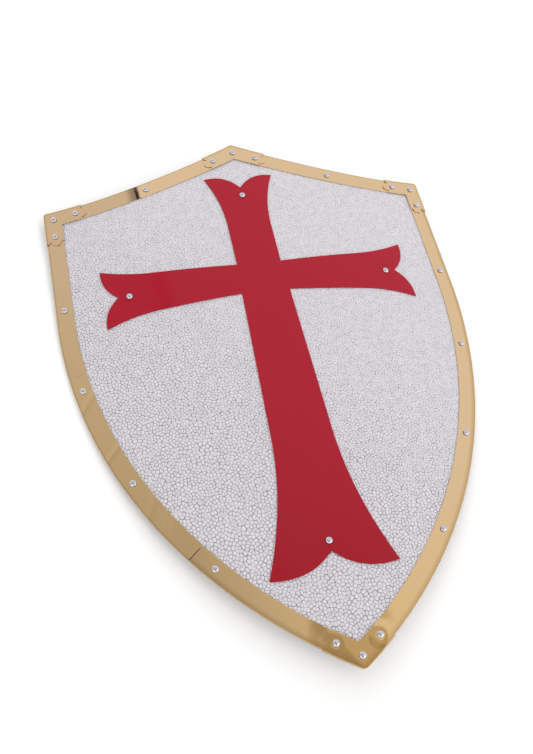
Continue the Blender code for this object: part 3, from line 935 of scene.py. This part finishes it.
def foldedMesh(name, spots, cover, size, shapeEnd):
    thickness, width, lip, bend = size
    outside, wall = -(cover + thickness), -cover
    legDepth, lipDepth = outside + width, outside + lip
    spots = clearOfMitre(spots, legDepth)
    front, under = cover + thickness, cover
    back, inside = -(sheet["panelThickness"] + front), -(sheet["panelThickness"] + cover)
    # the flat starts beside the fold, and inside any rounded corner, where its spots meet
    flatStart = outside + bend + strip["besideBend"]
    flatStart = max([flatStart] + [s.rounding + 0.0001 for s in spots])
    backStart = min(flatStart, lipDepth - 0.0003)
    # the section (depth, height) from the front's inner edge round the fold to the back's lip
    profile = [(legDepth, front), (flatStart, front)]
    for centre, start in ((front - bend, 0), (back + bend, 90)):
        for i in range(strip["bendSteps"] + 1):
            angle = math.radians(start + 90 * i / strip["bendSteps"])
            depth = outside + bend - bend * math.sin(angle)
            profile.append((depth, centre + bend * math.cos(angle)))
    profile += [(backStart, back), (lipDepth, back), (lipDepth, inside)]
    profile += [(wall, inside), (wall, under), (legDepth, under)]
    foldEnd = outside + bend + 1e-6
    bm = bmesh.new()
    foldedLayer = bm.verts.layers.float.new("folded")

    def vert(flat, height, folded=0.0):
        made = bm.verts.new((flat.x, flat.y, height))
        made[foldedLayer] = folded
        return made

    rows = [
        [vert(spot.at(depth), height, float(depth < foldEnd)) for depth, height in profile]
        for spot in spots
    ]
    last = len(profile) - 1
    ends = []
    for row, spot, sign in ((rows[0], spots[0], -1), (rows[-1], spots[-1], 1)):
        across = (spot.at(legDepth) - spot.at(outside)).normalized()
        away = Vector((across.y, -across.x)) * sign
        shape = [spot.at(depth) + away * reach for reach, depth in shapeEnd(legDepth, flatStart)]
        tops = [row[1]] + [vert(p, front) for p in shape] + [row[0]]
        unders = [row[last - 1]] + [vert(p, under) for p in shape] + [row[last]]
        ends.append((tops, unders))
        for i in range(1, len(tops)):
            bm.faces.new((tops[i - 1], tops[i], unders[i], unders[i - 1]))
        bm.faces.new(row[1:last])
    for number, (a, b) in enumerate(zip(rows, rows[1:])):
        for i in list(range(1, last - 1)) + [last]:
            j = 0 if i == last else i + 1
            bm.faces.new((a[i], a[j], b[j], b[i]))
        startTops, startUnders = [a[1], a[0]], [a[last - 1], a[last]]
        endTops, endUnders = [b[1], b[0]], [b[last - 1], b[last]]
        if number == 0:
            startTops, startUnders = ends[0]
        if number == len(rows) - 2:
            endTops, endUnders = ends[1]
        bm.faces.new(startTops + endTops[::-1])
        bm.faces.new(startUnders + endUnders[::-1])
    spacing = (strip["spacing"], strip["spacing"])
    return rollSheet(bm, name, strip["cutEdge"], strip["cutEdgeSteps"], spacing, stripLift)


def openMitres(spots):
    # a hair's gap where two strips meet on a corner's middle line
    for end, sign in ((spots[0], 1), (spots[-1], -1)):
        if end.mitre is not None:
            shift = Vector((-end.mitre.y, end.mitre.x)).normalized() * sign * sheet["gap"] / 2
            spots = [s.shifted(shift) if s.mitre == end.mitre else s for s in spots]
    return spots


def addRim(finish):
    seam = leftSide.length - strip["seamFromTip"]
    half = strip["seamGap"] / 2
    size = (strip["thickness"], strip["width"], strip["lip"], strip["bend"])
    for node, side, start, finishAt in (
        ("trim_right", rightSide, 0, rightSide.length),
        ("trim_top_right", topRight, 0, topRight.length),
        ("trim_top_left", topLeft, 0, topLeft.length),
        ("trim_left_upper", leftSide, 0, seam - half),
        ("trim_left_lower", leftSide, seam + half, leftSide.length),
    ):
        spots = openMitres(side.stretch(start, finishAt))
        mesh = foldedMesh(node, spots, sheet["gap"], size, squareEnd)
        addPiece("brass_" + node, mesh, finish, [node])
    print("rim strips done")

    gap = sheet["gap"]
    cover = 2 * gap + strip["thickness"]
    width = strip["width"] + gap + plate["thickness"] + plate["overhang"]
    size = (plate["thickness"], width, strip["lip"] + gap + plate["thickness"], plate["bend"])
    reaches = ("cornerReach", "peakReach", "tipReach")
    corner, peak, tip = (plate[k] + plate["hornReach"] for k in reaches)
    for node, before, after, reach in (
        ("plate_top_right", rightSide, topRight, corner),
        ("plate_peak", topRight, topLeft, peak),
        ("plate_top_left", topLeft, leftSide, corner),
        ("plate_tip", leftSide, rightSide, tip),
    ):
        spots = before.stretch(before.length - reach, before.length)[:-1]
        spots += after.stretch(0, reach)
        mesh = foldedMesh(node, spots, cover, size, scallopedEnd)
        addPiece("brass_" + node, mesh, finish, [node])
    print("corner plates done")


def rivetMesh(name, seat):
    # turned about Z: a domed head above the seat, its shank, and the tail spread behind
    base = seat + sheet["gap"]
    head, shank, tail = (rivet[k] / 2 for k in ("headDiameter", "shankDiameter", "tailDiameter"))
    spread, rim = rivet["tailHeight"], rivet["rimHeight"]
    # (radius, height) from the middle of the tail up, with its edges and the head's worn round
    profile = [(0, tailEnd), (shank * 1.1, tailEnd), (tail * 0.93, tailEnd + spread * 0.35)]
    profile += [(tail, rivetBack - spread * 0.25), (tail * 0.97, rivetBack), (shank, rivetBack)]
    profile += [(shank, base), (head * 0.97, base), (head, base + rim * 0.3)]
    dome = rivet["headHeight"] - rim
    power = 2 / rivet["domePower"]
    for i in range(rivet["steps"] + 1):
        angle = math.pi / 2 * i / rivet["steps"]
        radius = head * max(0.0, math.cos(angle)) ** power
        profile.append((radius, base + rim + dome * math.sin(angle) ** power))
    profile[-1] = (0, base + rivet["headHeight"])
    bm = bmesh.new()
    verts = [bm.verts.new((radius, 0, height)) for radius, height in profile]
    edges = [bm.edges.new(pair) for pair in zip(verts, verts[1:])]
    bmesh.ops.spin(
        bm, geom=verts + edges, axis=(0, 0, 1), cent=(0, 0, 0), angle=2 * math.pi,
        steps=rivet["sides"], use_merge=True,
    )
    bmesh.ops.remove_doubles(bm, verts=bm.verts, dist=1e-6)
    return meshFrom(bm, name, 45)


def addRivets(finish):
    stripSeat = sheet["gap"] + strip["thickness"]
    seats = {"plate": 2 * stripSeat, "strip": stripSeat, "cross": crossSurface}
    meshes = {kind: rivetMesh("rivet_" + kind, seat) for kind, seat in seats.items()}
    for node in sorted(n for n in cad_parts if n.startswith("rivet_")):
        kind = "cross" if "cross" in node else "plate"
        if node.startswith(("rivet_left", "rivet_right")):
            kind = "strip"
        here = flatPlace(node)
        turn = here.x / sheet["rollRadius"]
        place = Matrix.Translation(rollPoint(here.x, here.y, 0))
        place = place @ Matrix.Rotation(turn, 4, "Y")
        place = place @ Matrix.Rotation(random.uniform(0, 6.28), 4, "Z")
        addPiece("steel_" + node, meshes[kind], finish, [node], place)
    print("rivets done")


# The studio: a pale floor, a white tent with one large round lit panel in it, and a key light
# that only fills. The panel's dark rim is the line that crosses the left top strip.
studio = {
    "floorColour": (0.97, 0.97, 0.97, 1),
    "floorSize": 6,
    "tentLight": 0.45,
    "tentEnds": 0.6,                         # brighter towards both ends
    "tentRight": 0.9,                        # and towards the right, from just left of the middle
    "rightFrom": -0.15,
    # lit strips low behind the peak and on both sides: where they begin, are full, their light
    "lowBack": (0.74, 0.82, 0.35),
    "lowRight": (0.84, 0.92, 0.4),
    "lowLeft": (0.6, 0.75, 0.25),
    "front": (0.0, 0.35, 1.36),              # one in front, where only the rivets mirror it
    "frontHeight": (0.40, 0.60),             # and only this high up
    "panelWay": (0.5662, 0.5966, 0.5688),    # towards the lit panel, in the shield's own frame
    "panelCosine": 0.7565,                   # of the angle between its middle and its rim
    "panelEdge": (0.0010, 0.0040),           # the next three are cosines on from the rim's own
    "rimLine": (-0.0052, -0.0040),
    "rimShade": (-0.026, -0.009),
    "panelLight": 1.0,
    "rimDark": 0.97,
    "shadeDark": 0.52,
    "lowShade": 0.25,                        # share of the shade that is left at its lower end
    "rimHeight": (0.30, 0.50),               # the rim is dark only at its upper end
    "overWay": (0.0, -0.45, 0.89),           # the dark place over the camera
    "overEdge": (0.92, 0.965),
    "overDark": 0.88,
    "warmWay": (0.25, 0.10, 0.963),          # a duller, warmer place over the tip
    "warmEdge": (0.987, 0.993),
    "warmDark": 0.28,
    "warmColour": (1.0, 0.91, 0.70, 1),
    "keyPlace": (0.45, 1.20, 0.75),
    "keySize": 0.5,
    "keyPower": 3,
}
photoView = {
    "place": (-0.19428, -0.08793, 0.70920),  # from the panel's tip, in the shield's own frame
    "turn": (29.420, -6.998, -12.264),
    "focal": 821.7 / 754,                    # focal length as a share of the photo's long side
    "sensor": 36.0,
}


def addTent():
    world = bpy.data.worlds.new("white tent")
    world.use_nodes = True
    bpy.context.scene.world = world
    room = NodeTree(world.node_tree)
    turned = Matrix.Rotation(rock, 3, "X")
    way = room.add("ShaderNodeTexCoord", output="Generated")

    def towards(name):
        return room.along(way, turned @ Vector(studio[name]).normalized())

    def fromRim(toPanel, name):
        low, high = studio[name]
        return room.step(toPanel, studio["panelCosine"] + low, studio["panelCosine"] + high)

    across = room.along(way, (1, 0, 0))
    lengthways = room.along(way, turned @ Vector((0, 1, 0)))
    ends = lengthways.math("ABSOLUTE", lengthways)
    right = across.math("MAXIMUM", across - studio["rightFrom"], 0.0)
    tent = studio["tentLight"] + studio["tentEnds"] * ends + studio["tentRight"] * right
    tent = tent.math("MINIMUM", tent, 1.0)
    for toStrip, name in ((lengthways, "lowBack"), (across, "lowRight"), (-across, "lowLeft")):
        start, full, more = studio[name]
        tent = tent + more * room.step(toStrip, start, full)
    start, full, more = studio["front"]
    raised = room.step(room.along(way, (0, 0, 1)), *studio["frontHeight"])
    tent = tent + more * room.step(-lengthways, start, full) * raised

    toPanel = towards("panelWay")
    inside = fromRim(toPanel, "panelEdge")
    high = room.step(lengthways, *studio["rimHeight"])
    least = studio["lowShade"]
    shadeShare = fromRim(toPanel, "rimShade") * (least + (1 - least) * high)
    shade = 1.0 - studio["shadeDark"] * shadeShare
    rim = 1.0 - studio["rimDark"] * fromRim(toPanel, "rimLine") * high
    over = room.step(towards("overWay"), *studio["overEdge"])
    warm = room.step(towards("warmWay"), *studio["warmEdge"])
    light = tent * shade * rim * (1.0 - inside) + studio["panelLight"] * inside
    light = light * (1.0 - studio["overDark"] * over) * (1.0 - studio["warmDark"] * warm)
    lit = world.node_tree.nodes["Background"].inputs
    room.feed(lit["Strength"], light)
    room.feed(lit["Color"], room.blend(warm, (1, 1, 1, 1), studio["warmColour"]))


def addKey():
    light = bpy.data.lights.new("key", "AREA")
    light.shape = "SQUARE"
    light.size = studio["keySize"]
    light.energy = studio["keyPower"]
    lamp = bpy.data.objects.new("key", light)
    bpy.context.scene.collection.objects.link(lamp)
    lamp.location = studio["keyPlace"]
    lamp.rotation_euler = Vector(studio["keyPlace"]).to_track_quat("Z", "Y").to_euler()
    lamp.visible_glossy = False            # the brass mirrors the tent and not the lamp


def addStudio():
    addTent()
    addKey()

    bm = bmesh.new()
    bmesh.ops.create_grid(bm, x_segments=1, y_segments=1, size=studio["floorSize"])
    floor = bpy.data.objects.new("floor", meshFrom(bm, "floor"))
    bpy.context.scene.collection.objects.link(floor)
    floor.location.z = -0.0002
    pale = Finish("pale floor", {"Base Color": studio["floorColour"], "Roughness": 0.8})
    floor.data.materials.append(pale.material)

    camera = bpy.data.cameras.new("camera")
    camera.sensor_fit = "AUTO"
    camera.sensor_width = photoView["sensor"]
    camera.lens = photoView["focal"] * photoView["sensor"]
    camera.clip_start = 0.05
    viewer = bpy.data.objects.new("camera", camera)
    bpy.context.scene.collection.objects.link(viewer)
    turn = Euler([math.radians(a) for a in photoView["turn"]])
    viewer.matrix_world = rest @ Matrix.LocRotScale(Vector(photoView["place"]), turn, None)
    bpy.context.scene.camera = viewer
    bpy.context.scene.view_settings.view_transform = "Standard"
    print("studio done")


swells = [(flatPlace(node), height, radius) for node, height, radius in strip["swells"]]
addStudio()
addPiece("paintedPanel", panelMesh(), cracklePaint(), ["shield_panel"])
addPiece("redCross", crossMesh(), enamelFinish(), ["cross_plate"])
addRim(brassFinish())
addRivets(steelFinish())
